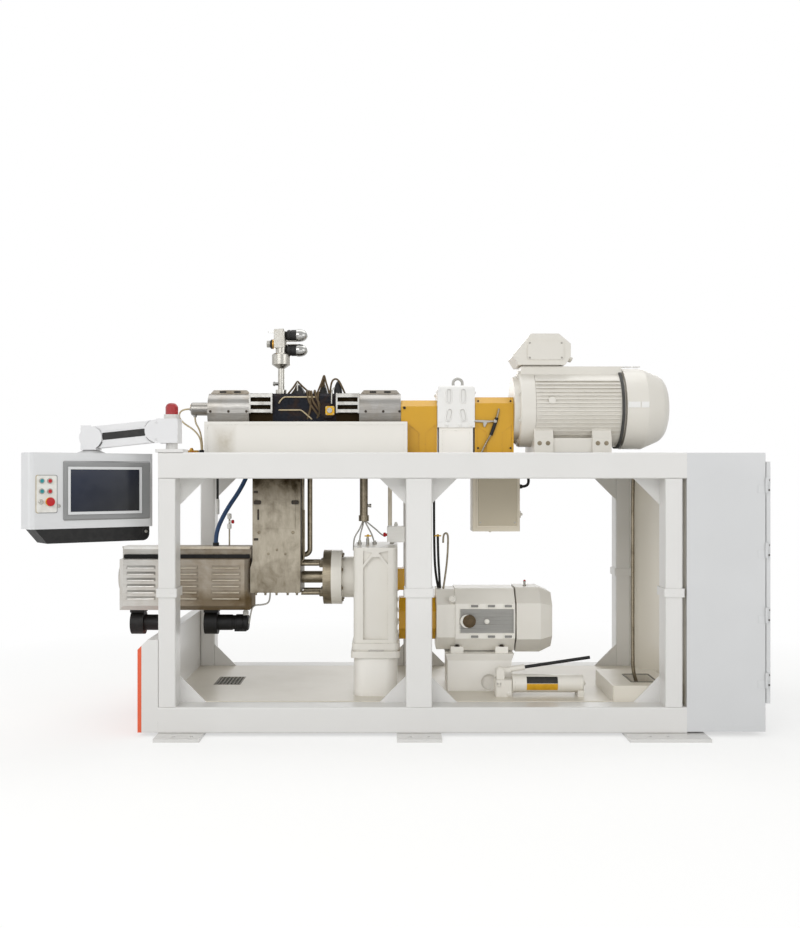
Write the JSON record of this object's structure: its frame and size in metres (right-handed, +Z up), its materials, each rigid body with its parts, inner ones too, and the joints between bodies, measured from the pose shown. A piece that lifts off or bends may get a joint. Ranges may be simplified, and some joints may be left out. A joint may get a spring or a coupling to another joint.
{
  "type": "plastic extruder",
  "caption": "Compact plastic compounding line: a mixer with gear reducer and motor on a tube frame feeds an extruder below; cabinet with doors and a panel on a swivel arm.",
  "frame": {"origin": "on the floor, at the centre of the outer anchor bolts of the frame's corner feet", "axes": "+Z up, +X along the drive lines towards the electrical cabinet, -Y is the front"},
  "size_m": [4.323, 1.8782, 2.459],
  "materials": {
    "white_paint": "semi-gloss",
    "cabinet_paint": "fine texture",
    "yellow_paint": "semi-gloss",
    "orange_paint": "semi-gloss",
    "grey_cast": "semi-gloss",
    "stainless": "brushed",
    "dark_steel": "oiled",
    "galvanised": "matt",
    "black_iron": "matt",
    "black_plastic": "matt",
    "panel_alu": "satin",
    "bezel_alu": "brushed",
    "screen_glass": "gloss",
    "button_plastic": "gloss",
    "beacon_plastic": "gloss",
    "hose_rubber": "satin",
    "cable_jacket": "matt"
  },
  "bodies": {
    "plant": {"bottom_rails": "white_paint", "top_rails": "white_paint", "cross_rails": "white_paint", "lower_posts": "white_paint", "upper_posts": "white_paint", "gussets": "white_paint", "foot_plates": "white_paint", "drip_pan": "white_paint", "pan_grates": "galvanised", "deck_plate": "white_paint", "end_enclosure": "white_paint", "end_panel": "orange_paint", "cabinet_shell": "cabinet_paint", "cabinet_backplate": "galvanised", "mixer_base": "white_paint", "mixer_covers": "stainless", "mixer_fin_blocks": "stainless", "mixer_chamber": "black_iron", "rotor_end_bearing": "stainless", "feed_valve": "grey_cast", "feed_valve_knobs": "black_plastic", "coupling_guards": "yellow_paint", "mixer_gearbox": "grey_cast", "drive_pedestals": "white_paint", "main_motor": "grey_cast", "terminal_box": "grey_cast", "motor_cowls": "grey_cast", "extruder_motor": "grey_cast", "discharge_chute": "stainless", "extruder_barrel": "dark_steel", "barrel_shroud": "stainless", "shroud_duct": "stainless", "barrel_blowers": "black_iron", "lantern": "dark_steel", "extruder_gearbox": "white_paint", "junction_box": "white_paint", "hand_pump": "white_paint", "arm_mount": "white_paint", "chamber_lines": "stainless", "deck_pipes": "stainless", "cable_glands": "black_plastic", "bearing_cable_short": "cable_jacket", "bearing_cable_long": "cable_jacket", "blue_hose": "hose_rubber"},
    "cabinet_door_front": {"cabinet_door_front": "cabinet_paint"},
    "cabinet_door_back": {"cabinet_door_back": "cabinet_paint"},
    "arm_base": {"arm_base": "panel_alu", "beacon": "beacon_plastic"},
    "arm": {"support_arm": "panel_alu"},
    "arm_head": {"arm_head": "panel_alu"},
    "panel": {"panel_housing": "panel_alu", "panel_bezel": "bezel_alu", "panel_screen": "screen_glass", "panel_tray": "black_plastic", "panel_buttons": "button_plastic"},
    "pump_lever": {"hand_pump_lever": "black_iron", "lever_socket": "white_paint"}
  },
  "joints": [
    {"name": "cabinet_door_front_hinge", "type": "hinge", "parent": "plant", "child": "cabinet_door_front", "pos_m": [2.008, -0.771, 0.9], "axis": [0, 0, -1], "range_deg": [0, 120]},
    {"name": "cabinet_door_back_hinge", "type": "hinge", "parent": "plant", "child": "cabinet_door_back", "pos_m": [2.008, 0.771, 0.9], "axis": [0, 0, 1], "range_deg": [0, 120]},
    {"name": "arm_swivel", "type": "hinge", "parent": "plant", "child": "arm_base", "pos_m": [-1.459, -0.686, 1.7063], "axis": [0, 0, 1], "range_deg": [0, 90]},
    {"name": "arm_lift", "type": "hinge", "parent": "arm_base", "child": "arm", "pos_m": [-1.538, -0.686, 1.7773], "axis": [0, 1, 0], "range_deg": [-12, 6]},
    {"name": "head_level", "type": "hinge", "parent": "arm", "child": "arm_head", "pos_m": [-1.9199, -0.686, 1.73716], "axis": [0, 1, 0], "range_deg": [-6, 12]},
    {"name": "panel_swivel", "type": "hinge", "parent": "arm_head", "child": "panel", "pos_m": [-1.9329, -0.686, 1.66616], "axis": [0, 0, 1], "range_deg": [-20, 75]},
    {"name": "pump_lever_hinge", "type": "hinge", "parent": "plant", "child": "pump_lever", "pos_m": [0.497, -0.418, 0.3214], "axis": [0, -1, 0], "range_deg": [-5, 50]}
  ],
  "couplings": [
    {"joint": "head_level", "follows": "arm_lift", "ratio": -1}
  ]
}
